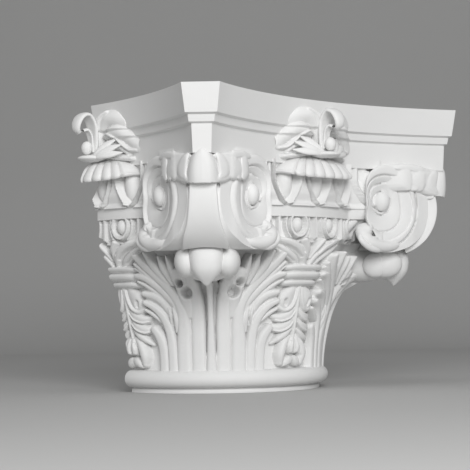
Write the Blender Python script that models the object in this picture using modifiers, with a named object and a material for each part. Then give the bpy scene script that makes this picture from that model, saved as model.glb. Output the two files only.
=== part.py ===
"""A composite half capital, cast in one piece and cut flat just behind the column's axis.

The origin is the column's axis at the underside, +Z is up, and the front face looks along -Y.
Each ornament is modelled once in its own frame, with X pointing out from the axis, Y to its right
as seen from outside and Z up, and is then turned to its place. The horns stand at 45 degrees to the
front, and the fleurons, eggs and festoons repeat on the front, the left and the right face.
"""

import math

import bmesh
import bpy
from mathutils import Matrix, Vector

# Heights of the courses, bottom to top, in metres
RING_HEIGHT = 0.028
LEAF_HEIGHT = 0.161
LOWER_EGG_HEIGHT = 0.026
FILLET_HEIGHT = 0.013
UPPER_EGG_HEIGHT = 0.052
LOWER_BAND_HEIGHT = 0.033
STEP_HEIGHT = 0.011
TOP_BAND_HEIGHT = 0.034

# Plan of the abacus
ABACUS_REACH = 0.240
ABACUS_HALF_SIDE = 0.209
SIDE_HOLLOW = 0.045
TOP_BAND_BATTER = 0.0064
STEP_INSET = 0.0050
STEP_BATTER = 0.0020
LOWER_BAND_INSET = 0.0045
LOWER_BAND_BATTER = 0.0020
SIDE_SHORTENING = 0.19

# The bell, and how far the ring, the fillets and the egg courses stand out from it
FOOT_RADIUS = 0.130
LIP_FLARE = 0.045
BELL_POWER = 2.2
RING_PROJECTION = 0.016
RING_ROLL = 0.0105
SCOTIA_PROJECTION = 0.002
BASE_PROJECTION = 0.0045
BASE_HEIGHT = 0.0046
LOWER_EGG_PROJECTION = 0.001
EGG_PROJECTION = 0.003
FILLET_PROJECTION = 0.012

# Where the back is cut, behind the axis
BACK_DEPTH = 0.012

# The volute: a drum under each horn, narrow in front and flaring to the back
VOLUTE_RADIUS = 0.062
VOLUTE_SETBACK = 0.0115
VOLUTE_RISE = 0.013
NOSE_HALF_WIDTH = 0.0086
FLARE = 0.71
WIDEST_HALF = 0.078
RIM_RADIUS = 0.006
EYE_BEHIND = 0.0135
EYE_ABOVE = 0.005
EYE_DEPTH = 0.010
EYE_RELIEF = 0.009
EYE_HALF_HEIGHT = 0.014
SCROLL_SQUEEZE = 0.62
SCROLL_TURN = math.radians(630)
SCROLL_LEAD = math.radians(35)
CURL_RADIUS = 0.0135
CURL_SETBACK = 0.024
PANEL_RELIEF = 0.002
PANEL_HALF_WIDTH = 0.014
PANEL_FLARE = 0.18

# The leaf over each volute and the bud under it, set out from the abacus's cut corner
LEAF_OVERHANG = 0.0036
LEAF_LOBE = 0.021
LEAF_DROP = 0.014
BUD_SETBACK = 0.0484
BUD_LENGTH = 0.050
BUD_LAP = 0.008
BUD_HALF_WIDTH = 0.021
CHEEK_SPREAD = 0.026
TONGUE_SETBACK = 0.060
TONGUE_HALF_LENGTH = 0.048
TONGUE_HALF_WIDTH = 0.034

# Egg and dart
EGG_PITCH = math.radians(14.7)
EGG_RELIEF = 0.020
STRAP = 0.0048
LOWER_EGG_PITCH = math.radians(17.3)
LOWER_EGG_HALF_WIDTH = 0.0085
LOWER_STRAP = 0.0036

# Leaf relief on the bell
LEAF_RELIEF = 0.010
LEAF_SPREAD = math.radians(33)
LEAF_NOSE = 0.062
LEAF_NOSE_SPREAD = math.radians(10)
LEAF_SINK = 0.0026
FINGER = 0.0046

# The flower on each side, and the gadroon under it, set out from the hollow side's middle
FLEURON_HALF_WIDTH = 0.072
FLEURON_PROJECTION = 0.048
FLEURON_MARGIN = 0.006
FLEURON_FOOT = 0.008
PETAL = 0.009
GADROON_HALF_WIDTH = 0.060
GADROON_PROJECTION = 0.0359
GADROON_DROP = 0.016
GADROON_RIB = 0.0065
GADROONS = 7

# The festoon on each face of the bell
KNOT_HALF_WIDTH = 0.029
KNOT_RELIEF = 0.014
KNOT_PITCH = 0.0098
DROP_HALF_WIDTH = 0.011
HUSK_HALF_LENGTH = 0.019
FLOWER_HALF_HEIGHT = 0.020

# How fine the solid is
SCREW_STEPS = 28
FLAT_ANGLE = 1.0

FACES = (-math.pi / 2, 0.0, math.pi / 2)
HORNS = (-math.pi / 4, math.pi / 4)

leaf_foot = RING_HEIGHT
egg_foot = leaf_foot + LEAF_HEIGHT
fillet_foot = egg_foot + LOWER_EGG_HEIGHT
fillet_top = fillet_foot + FILLET_HEIGHT
abacus_foot = fillet_top + UPPER_EGG_HEIGHT
step_foot = abacus_foot + LOWER_BAND_HEIGHT
step_top = step_foot + STEP_HEIGHT
abacus_top = step_top + TOP_BAND_HEIGHT
lip_radius = FOOT_RADIUS + LIP_FLARE
ring_radius = FOOT_RADIUS + RING_PROJECTION
lower_egg_ground = lip_radius + LOWER_EGG_PROJECTION
egg_ground = lip_radius + EGG_PROJECTION
fillet_radius = lip_radius + FILLET_PROJECTION


def bell_radius(z):
    """The bare bell: slow at the foot and flaring faster towards the egg courses."""
    share = max(0.0, (z - leaf_foot) / LEAF_HEIGHT)
    return FOOT_RADIUS + LIP_FLARE * share**BELL_POWER


def half_side(reach):
    """Half the straight length between two horns, for the course that reaches this far out."""
    return ABACUS_HALF_SIDE - SIDE_SHORTENING * (ABACUS_REACH - reach)


def abacus_courses():
    """Height and reach of each edge of the abacus, bottom to top."""
    top_foot = ABACUS_REACH - TOP_BAND_BATTER
    step_high = top_foot - STEP_INSET
    step_low = step_high - STEP_BATTER
    band_high = step_low - LOWER_BAND_INSET
    return [
        (abacus_foot, band_high - LOWER_BAND_BATTER),
        (step_foot, band_high),
        (step_foot + STEP_BATTER, step_low),
        (step_top - STEP_BATTER, step_high),
        (step_top, top_foot),
        (abacus_top, ABACUS_REACH),
    ]


def face_depth():
    """How far the middle of a concave side stands from the axis, on the lower band."""
    return abacus_courses()[1][1] - SIDE_HOLLOW


def horn_reach():
    """Distance along the diagonal from the axis to the cut corner, on the lower band."""
    reach = abacus_courses()[1][1]
    return (reach + half_side(reach)) / math.sqrt(2)


def material(name, colour, roughness):
    """A plain Principled material."""
    result = bpy.data.materials.new(name)
    result.use_nodes = True
    shader = result.node_tree.nodes["Principled BSDF"]
    shader.inputs["Base Color"].default_value = (*colour, 1.0)
    shader.inputs["Roughness"].default_value = roughness
    shader.inputs["Metallic"].default_value = 0.0
    return result


def volute_front():
    """Distance along the diagonal from the axis to the front of the volute's drum."""
    return horn_reach() - VOLUTE_SETBACK


def volute_centre():
    """Distance along the diagonal and height of the drum's centre."""
    return volute_front() - VOLUTE_RADIUS, abacus_foot + VOLUTE_RISE - VOLUTE_RADIUS


def eye_centre():
    """Distance along the diagonal and height of the spiral's eye."""
    centre_r, centre_z = volute_centre()
    return centre_r - EYE_BEHIND, centre_z + EYE_ABOVE


def add_hidden(name, mesh, collection, azimuth=0.0):
    """An ornament turned to its azimuth from the front, kept out of the picture as a Boolean's operand."""
    shape = bpy.data.objects.new(name, mesh)
    shape.rotation_euler.z = azimuth - math.pi / 2
    shape.hide_render = True
    shape.display_type = "WIRE"
    collection.objects.link(shape)
    return shape


def ball(centre, radii, lean=0.0, yaw=0.0, segments=6, rings=4):
    """A closed ellipsoid. Lean tips its top to the right about X, yaw turns it about Z."""
    cage = bmesh.new()
    turn = Matrix.Rotation(yaw, 4, "Z") @ Matrix.Rotation(-lean, 4, "X")
    place = Matrix.Translation(Vector(centre)) @ turn @ Matrix.Diagonal((*radii, 1.0))
    bmesh.ops.create_uvsphere(cage, u_segments=segments, v_segments=rings, radius=1.0, matrix=place)
    mesh = bpy.data.meshes.new("ball")
    cage.to_mesh(mesh)
    cage.free()
    return mesh


def tube(points, radii):
    """A closed bar with a radius at each point. Its section is a square standing on its corner."""
    curve = bpy.data.curves.new("bar", "CURVE")
    curve.dimensions = "3D"
    curve.bevel_depth = 1.0
    curve.bevel_resolution = 0
    curve.use_fill_caps = True
    spline = curve.splines.new("POLY")
    spline.points.add(len(points) - 1)
    for point, place, radius in zip(spline.points, points, radii):
        point.co = (*place, 1.0)
        point.radius = radius
    guide = bpy.data.objects.new("bar", curve)
    bpy.context.scene.collection.objects.link(guide)
    depsgraph = bpy.context.evaluated_depsgraph_get()
    mesh = bpy.data.meshes.new_from_object(guide.evaluated_get(depsgraph))
    bpy.data.objects.remove(guide)
    bpy.data.curves.remove(curve)
    shell = bmesh.new()
    shell.from_mesh(mesh)
    bmesh.ops.remove_doubles(shell, verts=shell.verts, dist=1e-6)
    bmesh.ops.recalc_face_normals(shell, faces=shell.faces)
    shell.to_mesh(mesh)
    shell.free()
    return mesh


def loft(loops):
    """A closed skin over loops of equal length, each listed anticlockwise seen from the last loop."""
    shell = bmesh.new()
    rows = [[shell.verts.new(place) for place in loop] for loop in loops]
    count = len(rows[0])
    for low, high in zip(rows, rows[1:]):
        for k in range(count):
            after = (k + 1) % count
            shell.faces.new((low[k], low[after], high[after], high[k]))
    shell.faces.new(list(reversed(rows[0])))
    shell.faces.new(rows[-1])
    bmesh.ops.recalc_face_normals(shell, faces=shell.faces)
    mesh = bpy.data.meshes.new("loft")
    shell.to_mesh(mesh)
    shell.free()
    return mesh


def on_bell(turn, z, offset):
    """The point at this angle from the frame's middle and this far out from the bare bell."""
    radius = bell_radius(z) + offset
    return (radius * math.cos(turn), radius * math.sin(turn), z)


def body_profile():
    """Radius and height down the turned body, from the axis at the top to the axis at the bottom."""
    roll_centre = ring_radius - RING_ROLL
    roll_height = RING_HEIGHT - RING_ROLL
    points = [(0.0, step_foot), (lip_radius - FILLET_PROJECTION, step_foot)]
    points.append((egg_ground, abacus_foot - FILLET_HEIGHT / 4))
    points.append((egg_ground, fillet_top))
    points.append((fillet_radius, fillet_top - FILLET_HEIGHT / 10))
    points.append((fillet_radius, fillet_foot + FILLET_HEIGHT / 10))
    points.append((lower_egg_ground, fillet_foot))
    levels = 4
    for k in range(levels):
        z = egg_foot - LEAF_HEIGHT * k / levels
        points.append((bell_radius(z), z))
    points.append((FOOT_RADIUS, leaf_foot))
    arcs = 4
    for k in range(arcs + 1):
        turn = math.pi / 2 - math.pi * k / arcs
        points.append(
            (roll_centre + RING_ROLL * math.cos(turn), roll_height + RING_ROLL * math.sin(turn))
        )
    points.append((FOOT_RADIUS + SCOTIA_PROJECTION, roll_height - RING_ROLL - BASE_HEIGHT / 8))
    points.append((FOOT_RADIUS + BASE_PROJECTION, BASE_HEIGHT))
    points.append((FOOT_RADIUS + BASE_PROJECTION, 0.0))
    points.append((0.0, 0.0))
    return points


def turned_body(collection, finish):
    """The bell, the echinus and the base ring, turned about the column's axis."""
    mesh = bpy.data.meshes.new("capital")
    outline = bmesh.new()
    ends = [outline.verts.new((radius, 0.0, z)) for radius, z in body_profile()]
    for first, second in zip(ends, ends[1:]):
        outline.edges.new((first, second))
    outline.to_mesh(mesh)
    outline.free()
    body = bpy.data.objects.new("capital", mesh)
    body.data.materials.append(finish)
    body.rotation_euler.z = math.pi / (2 * SCREW_STEPS)
    collection.objects.link(body)
    screw = body.modifiers.new("turn", "SCREW")
    screw.steps = SCREW_STEPS
    screw.render_steps = SCREW_STEPS
    screw.use_merge_vertices = True
    screw.merge_threshold = 0.00001
    screw.use_normal_calculate = True
    return body


def abacus(collection):
    """The abacus: four hollow sides with cut corners, stepping out course by course."""
    loops = []
    steps = 6
    for z, reach in abacus_courses():
        loop = []
        half = half_side(reach)
        bow = (half**2 + SIDE_HOLLOW**2) / (2 * SIDE_HOLLOW)
        sweep = math.asin(half / bow)
        for side in range(4):
            turn = Matrix.Rotation(side * math.pi / 2, 3, "Z")
            for k in range(steps + 1):
                angle = sweep * (2 * k / steps - 1)
                out = reach + bow * math.cos(sweep) - bow * math.cos(angle)
                loop.append(turn @ Vector((out, bow * math.sin(angle), z)))
        loops.append(loop)
    add_hidden("abacus", loft(loops), collection)


def volute_width(r):
    """Half the drum's width at this distance from the axis."""
    return min(NOSE_HALF_WIDTH + (volute_front() - r) * FLARE, WIDEST_HALF)


def drum(radius, width):
    """A round block across the horn, whose ends follow the width at each distance and height."""
    centre_r, centre_z = volute_centre()
    block = bmesh.new()
    lay = Matrix.Translation((centre_r, 0.0, centre_z)) @ Matrix.Rotation(math.pi / 2, 4, "X")
    bmesh.ops.create_cone(
        block, cap_ends=True, segments=20, radius1=radius, radius2=radius, depth=1.0, matrix=lay
    )
    for corner in block.verts:
        corner.co.y = math.copysign(width(corner.co.x, corner.co.z), corner.co.y)
    mesh = bpy.data.meshes.new("drum")
    block.to_mesh(mesh)
    block.free()
    return mesh


def scroll(side):
    """The raised rim of a volute's spiral, from the curl at its back end round into the eye."""
    eye_r, eye_z = eye_centre()
    outer = VOLUTE_RADIUS - RIM_RADIUS
    steady = 0.14
    points = []
    radii = []
    count = 13
    for k in range(count):
        turn = -SCROLL_LEAD + (SCROLL_TURN + SCROLL_LEAD) * k / (count - 1)
        share = max(0.0, turn / SCROLL_TURN)
        radius = outer - (outer - EYE_HALF_HEIGHT) * max(0.0, share - steady) / (1 - steady)
        drift = (1 - share) ** 2
        r = eye_r + EYE_BEHIND * drift + SCROLL_SQUEEZE * radius * math.sin(turn)
        z = eye_z - EYE_ABOVE * drift - radius * math.cos(turn)
        points.append((r, side * (volute_width(r) - RIM_RADIUS / 2), z))
        radii.append(RIM_RADIUS * (1 - 0.3 * share))
    return tube(points, radii)


def volute(collection, horn):
    """The drum, its raised front panel, two spiral rims and their eyes."""
    centre_r, centre_z = volute_centre()
    eye_r, eye_z = eye_centre()
    tip_r = centre_r - CURL_SETBACK
    tip_z = centre_z - VOLUTE_RADIUS + CURL_RADIUS

    def drum_width(r, z):
        return volute_width(r) - RIM_RADIUS / 2

    def panel_width(r, z):
        return PANEL_HALF_WIDTH + max(0.0, eye_z - z) * PANEL_FLARE

    add_hidden("drum", drum(VOLUTE_RADIUS, drum_width), collection, horn)
    add_hidden("panel", drum(VOLUTE_RADIUS + PANEL_RELIEF, panel_width), collection, horn)
    for side in (-1, 1):
        add_hidden("scroll", scroll(side), collection, horn)
        eye_size = (EYE_DEPTH, EYE_RELIEF, EYE_HALF_HEIGHT)
        eye = ball((eye_r, side * volute_width(eye_r + EYE_DEPTH / 3), eye_z), eye_size)
        add_hidden("eye", eye, collection, horn)
        curl_size = (CURL_RADIUS, 0.75 * CURL_RADIUS, CURL_RADIUS)
        curl = ball((tip_r, side * volute_width(tip_r), tip_z), curl_size)
        add_hidden("curl", curl, collection, horn)


def horn_leaf(collection, horn):
    """The leaf that folds down over the top of the volute: a lip, two lobes and two wings."""
    lip_r = horn_reach() + LEAF_OVERHANG - LEAF_LOBE
    lip_z = abacus_foot - LEAF_DROP
    size = LEAF_LOBE
    lip = ball((lip_r, 0.0, lip_z), (size, size, size), segments=8)
    add_hidden("leaf.lip", lip, collection, horn)
    for side in (-1, 1):
        lobe_at = (lip_r - 0.38 * size, side * 1.1 * size, lip_z)
        lobe = ball(lobe_at, (0.86 * size, 0.62 * size, 0.81 * size), lean=side * 0.3)
        add_hidden("leaf.lobe", lobe, collection, horn)
        wing_at = (lip_r - 1.24 * size, side * 1.71 * size, lip_z + 0.14 * size)
        wing = ball(wing_at, (1.14 * size, 0.71 * size, 0.81 * size), yaw=-side * 0.5)
        add_hidden("leaf.wing", wing, collection, horn)


def bud(collection, horn):
    """The bud that hangs under the volute, its two cheeks, and the tongue back to the bell."""
    _, centre_z = volute_centre()
    tip_r = horn_reach() - BUD_SETBACK
    half = BUD_LENGTH / 2
    bud_z = centre_z - VOLUTE_RADIUS + BUD_LAP - half
    core_r = tip_r - BUD_HALF_WIDTH
    core = ball((core_r, 0.0, bud_z), (BUD_HALF_WIDTH, BUD_HALF_WIDTH, half), segments=8)
    add_hidden("bud", core, collection, horn)
    tongue_at = (tip_r - TONGUE_SETBACK, 0.0, bud_z + 0.75 * BUD_LAP)
    tongue_size = (TONGUE_HALF_LENGTH, TONGUE_HALF_WIDTH, 0.88 * half)
    tongue = ball(tongue_at, tongue_size, segments=8)
    add_hidden("tongue", tongue, collection, horn)
    for side in (-1, 1):
        cheek_at = (core_r - 0.24 * BUD_HALF_WIDTH, side * CHEEK_SPREAD, bud_z + 0.375 * BUD_LAP)
        cheek_size = (0.95 * BUD_HALF_WIDTH, 0.67 * BUD_HALF_WIDTH, BUD_HALF_WIDTH)
        cheek = ball(cheek_at, cheek_size)
        add_hidden("bud.cheek", cheek, collection, horn)


def corner_leaf(collection, horn):
    """The swelling of the bell under each horn that the acanthus leaf is carved on."""
    levels = 5
    columns = 4
    nose_foot = 0.40
    top = 0.74
    loops = []
    for i in range(levels):
        share = top * i / (levels - 1)
        z = leaf_foot - LEAF_SINK + (LEAF_HEIGHT + LEAF_SINK) * share
        nose = LEAF_NOSE * max(0.0, (share - nose_foot) / (top - nose_foot)) ** 2.6
        outer = []
        for k in range(columns + 1):
            turn = LEAF_SPREAD * (2 * k / columns - 1)
            swell = LEAF_RELIEF + nose * math.exp(-((turn / LEAF_NOSE_SPREAD) ** 2))
            outer.append(on_bell(turn, z, swell))
        inner = [on_bell(LEAF_SPREAD, z, -LEAF_RELIEF), on_bell(-LEAF_SPREAD, z, -LEAF_RELIEF)]
        loops.append(outer + inner)
    add_hidden("corner", loft(loops), collection, horn)


def finger_routes():
    """The flutes and fingers of a leaf's right half, each a row of points along it.

    A point is degrees from the diagonal, share of the leaf's height, offset from the bell as a share
    of the leaf's relief, and thickness as a share of a finger's.
    """
    inner = [(3.0, 0.0, 0.9, 1.0), (3.0, 0.5, 1.6, 0.9), (2.6, 0.66, 3.4, 0.5)]
    beside_bud = [(10.0, 0.58, 2.6, 0.9), (14.0, 0.74, 3.0, 1.6), (17.5, 0.90, 2.6, 0.8)]
    tall = [(14.5, 0.0, 0.9, 1.6), (14.8, 0.40, 1.1, 1.5), (17.0, 0.56, 1.5, 1.3)]
    tall += [(22.0, 0.76, 1.8, 1.1), (26.5, 0.92, 2.0, 0.6)]
    under_tall = [(17.5, 0.42, 1.1, 0.8), (21.5, 0.60, 1.5, 1.1), (26.0, 0.80, 1.6, 0.6)]
    middle = [(21.0, 0.0, 0.9, 1.2), (21.5, 0.40, 1.1, 1.2)]
    middle += [(26.5, 0.63, 1.5, 1.0), (30.0, 0.73, 1.4, 0.5)]
    low = [(26.0, 0.0, 0.9, 1.2), (26.6, 0.32, 1.1, 1.2), (30.5, 0.52, 1.2, 0.5)]
    outer = [(31.5, 0.0, 0.8, 1.6), (31.0, 0.20, 0.9, 1.6), (29.5, 0.36, 0.9, 1.0)]
    return [inner, tall, under_tall, middle, low, outer, beside_bud]


def acanthus(collection, horn):
    """The flutes and fingers of the corner leaf, the same to both sides of the diagonal."""
    for side in (-1, 1):
        for route in finger_routes():
            points = []
            radii = []
            for degrees, share, offset, size in route:
                z = leaf_foot - LEAF_SINK + LEAF_HEIGHT * share
                points.append(on_bell(side * math.radians(degrees), z, LEAF_RELIEF * offset))
                radii.append(FINGER * size)
            add_hidden("finger", tube(points, radii), collection, horn)


def egg_section(v):
    """Angle and relief across one pitch of the upper egg course, at this share of its height."""
    half = EGG_PITCH / 2
    strap_at = half * (0.12 + 0.68 * v**0.7)
    strap_half = STRAP / egg_ground
    egg_at = max(strap_at - strap_half, half * 0.06)
    egg = EGG_RELIEF * math.sqrt(max(0.0, v * (2 - v)))
    outer = min(strap_at + strap_half, half * 0.97)
    right = [(egg_at, STRAP / 4), (strap_at, STRAP), (outer, 0.0)]
    left = [(-turn, relief) for turn, relief in reversed(right)]
    return left + [(0.0, max(egg, STRAP))] + right


def upper_eggs(collection, face):
    """Three eggs in pointed straps, as one band of relief over the turned ground."""
    loops = []
    for v in (-0.04, 0.16, 0.42, 0.72, 1.05):
        z = fillet_top + UPPER_EGG_HEIGHT * v
        outer = []
        for k in (-1, 0, 1):
            for turn, relief in egg_section(max(v, 0.0)):
                angle = turn + k * EGG_PITCH
                radius = egg_ground + STRAP / 5 + relief
                outer.append((radius * math.cos(angle), radius * math.sin(angle), z))
        ends = [outer[-1], outer[0]]
        inner = [(x * 0.9, y * 0.9, z) for x, y, _ in ends]
        loops.append(outer + inner)
    add_hidden("upper.eggs", loft(loops), collection, face)


def lower_eggs(collection, face):
    """The two small eggs of the lower course, each in its round strap."""
    for k in (-0.5, 0.5):
        turn = k * LOWER_EGG_PITCH
        centre = egg_foot + LOWER_EGG_HEIGHT * 0.6
        size = (EGG_RELIEF / 2, LOWER_EGG_HALF_WIDTH, LOWER_EGG_HEIGHT * 0.44)
        add_hidden("low.egg", ball((lower_egg_ground, 0.0, centre), size), collection, face + turn)
        reach = lower_egg_ground + LOWER_STRAP / 2
        arm = LOWER_EGG_HALF_WIDTH + 2 * LOWER_STRAP
        high = fillet_foot + LOWER_STRAP
        low = egg_foot + LOWER_STRAP / 2
        strap = [(reach, -arm, high), (reach, -0.5 * arm, low), (reach, 0.5 * arm, low), (reach, arm, high)]
        add_hidden("low.strap", tube(strap, [LOWER_STRAP] * len(strap)), collection, face + turn)


def gadroon(collection, face):
    """The fluted cushion under the fleuron: ribs fanning down and out over the eggs."""
    ground = face_depth()
    fan = math.radians(78)
    core = (GADROON_PROJECTION - GADROON_RIB, 0.93 * GADROON_HALF_WIDTH, 2 * GADROON_RIB)
    add_hidden("cushion", ball((ground, 0.0, abacus_foot), core), collection, face)
    for k in range(GADROONS):
        turn = fan * (2 * k / (GADROONS - 1) - 1)
        out = GADROON_PROJECTION * math.cos(turn)
        across = GADROON_HALF_WIDTH * math.sin(turn)
        inner = (ground + 0.35 * out, 0.62 * across, abacus_foot + GADROON_RIB)
        tip = (ground + 0.84 * out, 0.95 * across, abacus_foot - GADROON_DROP + 0.6 * GADROON_RIB)
        add_hidden("rib", tube([inner, tip], [0.85 * GADROON_RIB, GADROON_RIB]), collection, face)


def fleuron(collection, face):
    """The flower on a side: a spine, a leaf curled forwards, its lip, two crowns and two spread leaves."""
    ground = face_depth() + TOP_BAND_BATTER
    base = abacus_foot + FLEURON_FOOT
    height = abacus_top - FLEURON_MARGIN - base
    spine_route = [(0.21, 0.0, 0.8), (0.30, 0.35, 0.9), (0.30, 0.75, 0.9), (0.21, 0.96, 0.55)]
    curl_route = [(0.34, 0.16, 0.7), (0.40, 0.50, 1.1), (0.60, 0.84, 1.25), (0.76, 0.84, 1.25)]
    curl_route += [(0.83, 0.60, 1.0), (0.76, 0.42, 0.6)]
    for name, route in (("spine", spine_route), ("curl", curl_route)):
        line = [(ground + FLEURON_PROJECTION * out, 0.0, base + height * up) for out, up, _ in route]
        add_hidden(name, tube(line, [PETAL * size for *_, size in route]), collection, face)
    lip_at = (ground + 0.42 * FLEURON_PROJECTION, 0.0, base + 0.05 * height)
    lip = ball(lip_at, (0.48 * FLEURON_PROJECTION, 0.36 * FLEURON_HALF_WIDTH, 0.8 * PETAL))
    add_hidden("lip", lip, collection, face)
    for side in (-1, 1):
        crown_at = (ground + PETAL, side * 0.34 * FLEURON_HALF_WIDTH, base + 0.72 * height)
        crown = ball(crown_at, (2.2 * PETAL, 2.4 * PETAL, 1.89 * PETAL), lean=side * 0.5)
        add_hidden("crown", crown, collection, face)
        leaf_at = (ground + 0.67 * PETAL, side * 0.50 * FLEURON_HALF_WIDTH, base + 0.28 * height)
        leaf = ball(leaf_at, (1.78 * PETAL, 2.67 * PETAL, 1.67 * PETAL), lean=side * 0.3)
        add_hidden("spread", leaf, collection, face)


def knot(collection, face):
    """The clasp that binds the festoon: a thick band between two thin ones."""
    knot_z = leaf_foot + 0.72 * LEAF_HEIGHT
    centre_r = bell_radius(knot_z) + 0.57 * KNOT_RELIEF
    for k in (-1, 0, 1):
        relief = KNOT_RELIEF if k else 1.2 * KNOT_RELIEF
        size = (relief, KNOT_HALF_WIDTH, 0.63 * KNOT_PITCH)
        band = ball((centre_r, 0.0, knot_z + KNOT_PITCH * k), size, segments=5, rings=3)
        add_hidden("band", band, collection, face)


def festoon(collection, face):
    """Stalks spreading above the knot, and under it two drops, four husks and a hanging flower."""
    stalk_route = [(0.03, 0.80, 1.2, 1.2), (0.09, 0.90, 1.3, 1.2), (0.20, 0.97, 1.3, 1.2)]
    stalk_route += [(0.33, 0.985, 1.4, 1.3), (0.385, 0.95, 1.4, 0.9)]
    drop_z = leaf_foot + 0.54 * LEAF_HEIGHT
    for side in (-1, 1):
        stalk = []
        radii = []
        for turn, share, out, size in stalk_route:
            stalk.append(on_bell(side * turn, leaf_foot + LEAF_HEIGHT * share, LEAF_RELIEF * out))
            radii.append(FINGER * size)
        add_hidden("stalk", tube(stalk, radii), collection, face)
        half = DROP_HALF_WIDTH
        drop_at = (bell_radius(drop_z) + 0.55 * half, side * 1.18 * half, drop_z)
        drop = ball(drop_at, (0.91 * half, half, 1.36 * half), segments=5, rings=3)
        add_hidden("drop", drop, collection, face)
        for share, spread, lean in ((0.40, 0.68, 0.55), (0.29, 0.63, 0.7)):
            half = HUSK_HALF_LENGTH
            husk_z = leaf_foot + share * LEAF_HEIGHT
            husk_at = (bell_radius(husk_z) + 0.3 * half, side * spread * half, husk_z)
            husk_size = (0.47 * half, 0.37 * half, half)
            husk = ball(husk_at, husk_size, lean=side * lean, segments=5, rings=3)
            add_hidden("husk", husk, collection, face)
    flower_z = leaf_foot + 0.14 * LEAF_HEIGHT
    half = FLOWER_HALF_HEIGHT
    flower = ball((bell_radius(flower_z) + 0.2 * half, 0.0, flower_z), (0.7 * half, 0.85 * half, half))
    add_hidden("flower", flower, collection, face)


def join(body, ornament):
    """Unites the ornament with the turned body and cuts the back flat."""
    union = body.modifiers.new("ornament", "BOOLEAN")
    union.operation = "UNION"
    union.operand_type = "COLLECTION"
    union.collection = ornament
    union.solver = "MANIFOLD"
    cutters = bpy.data.collections.new("cutters")
    bpy.context.scene.collection.children.link(cutters)
    block = bmesh.new()
    span = 2 * ABACUS_REACH
    bmesh.ops.create_cube(block, size=1.0, matrix=Matrix.Diagonal((2 * span, span, 2 * span, 1.0)))
    mesh = bpy.data.meshes.new("back")
    block.to_mesh(mesh)
    block.free()
    back = bpy.data.objects.new("back", mesh)
    back.location.y = BACK_DEPTH + span / 2
    back.hide_render = True
    back.display_type = "WIRE"
    cutters.objects.link(back)
    cut = body.modifiers.new("back", "BOOLEAN")
    cut.operation = "DIFFERENCE"
    cut.object = back
    cut.solver = "MANIFOLD"
    merge = body.modifiers.new("flat", "DECIMATE")
    merge.decimate_type = "DISSOLVE"
    merge.angle_limit = math.radians(FLAT_ANGLE)


def build():
    """Models the capital."""
    for old in list(bpy.data.objects):
        bpy.data.objects.remove(old)
    capital = bpy.data.collections.new("composite_half_capital")
    ornament = bpy.data.collections.new("ornament")
    bpy.context.scene.collection.children.link(capital)
    bpy.context.scene.collection.children.link(ornament)
    body = turned_body(capital, material("white_casting", (0.86, 0.86, 0.85), 0.6))
    abacus(ornament)
    for horn in HORNS:
        volute(ornament, horn)
        horn_leaf(ornament, horn)
        bud(ornament, horn)
        corner_leaf(ornament, horn)
        acanthus(ornament, horn)
    for face in FACES:
        upper_eggs(ornament, face)
        lower_eggs(ornament, face)
        gadroon(ornament, face)
        fleuron(ornament, face)
        knot(ornament, face)
        festoon(ornament, face)
    join(body, ornament)


build()
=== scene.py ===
import math

import bmesh
import bpy
import numpy as np
from mathutils import Matrix, Vector


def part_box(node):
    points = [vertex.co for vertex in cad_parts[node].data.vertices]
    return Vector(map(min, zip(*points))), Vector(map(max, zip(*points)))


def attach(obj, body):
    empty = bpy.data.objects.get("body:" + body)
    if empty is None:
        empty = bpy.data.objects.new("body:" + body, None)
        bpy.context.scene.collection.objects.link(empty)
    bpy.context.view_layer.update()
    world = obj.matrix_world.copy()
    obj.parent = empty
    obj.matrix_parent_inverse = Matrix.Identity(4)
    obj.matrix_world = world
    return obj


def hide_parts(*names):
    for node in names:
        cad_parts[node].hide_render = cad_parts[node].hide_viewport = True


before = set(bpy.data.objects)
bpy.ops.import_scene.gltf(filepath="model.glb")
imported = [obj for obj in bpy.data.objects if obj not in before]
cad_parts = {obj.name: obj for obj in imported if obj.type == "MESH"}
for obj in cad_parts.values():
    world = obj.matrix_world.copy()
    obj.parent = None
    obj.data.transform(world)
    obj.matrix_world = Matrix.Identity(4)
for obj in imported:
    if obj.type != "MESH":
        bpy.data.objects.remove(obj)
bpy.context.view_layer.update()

# The carved surfaces of a composite half capital, cast in one piece and cut flat at the back.
# Lengths are in millimetres until a mesh is made. An ornament is worked out in its own frame, as
# distance out from the column's axis, distance across to the right, and height, and is then turned
# to its azimuth: 0 for the front, 45 degrees for the right horn, -90 for the left side.

MM = 0.001
cad_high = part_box("capital")[1]

HEIGHT = cad_high.z / MM
BACK = cad_high.y / MM
HORNS = (-45.0, 45.0)
FACES = (-90.0, 0.0, 90.0)

# How far each further shell is cut back behind the one before it, at the flat back
CUT_STEP = 0.05
# Angles, in degrees, past which an edge between two faces stays sharp
SHARP_ABACUS = 30.0
SHARP_TURNED = 50.0
SHARP_LEAF = 60.0

# Courses of the abacus, bottom to top: height, reach of the side's ends, half the side's length
ABACUS_FOOT = 280.0
COURSES = (
    (ABACUS_FOOT, 220.1, 205.2),
    (312.8, 222.1, 205.6),
    (314.6, 226.8, 206.3),
    (322.6, 228.6, 206.9),
    (324.6, 233.6, 207.8),
    (HEIGHT, 240.0, 209.0),
)
SIDE_HOLLOW = 45.0

# Bell, base ring and egg courses: heights and radii
LEAF_FOOT = 28.0
EGG_FOOT = 189.0
FILLET_FOOT = 215.0
FILLET_TOP = 228.0
BELL_FOOT_RADIUS = 130.0
BELL_FLARE = 45.0
BELL_POWER = 2.2
LEAF_RADIUS = 150.0
RING_RADIUS = 146.0
ROLL_HALF = 10.5
ROLL_MIDDLE = 17.5
CORE_RADIUS = 176.0
FILLET_CORE = 184.0
NECK_RADIUS = 178.0

# Volute, in its horn's frame
EYE_OUT = 217.0
EYE_UP = 238.0
DRUM_OUT = 229.6
DRUM_UP = 231.0


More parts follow.
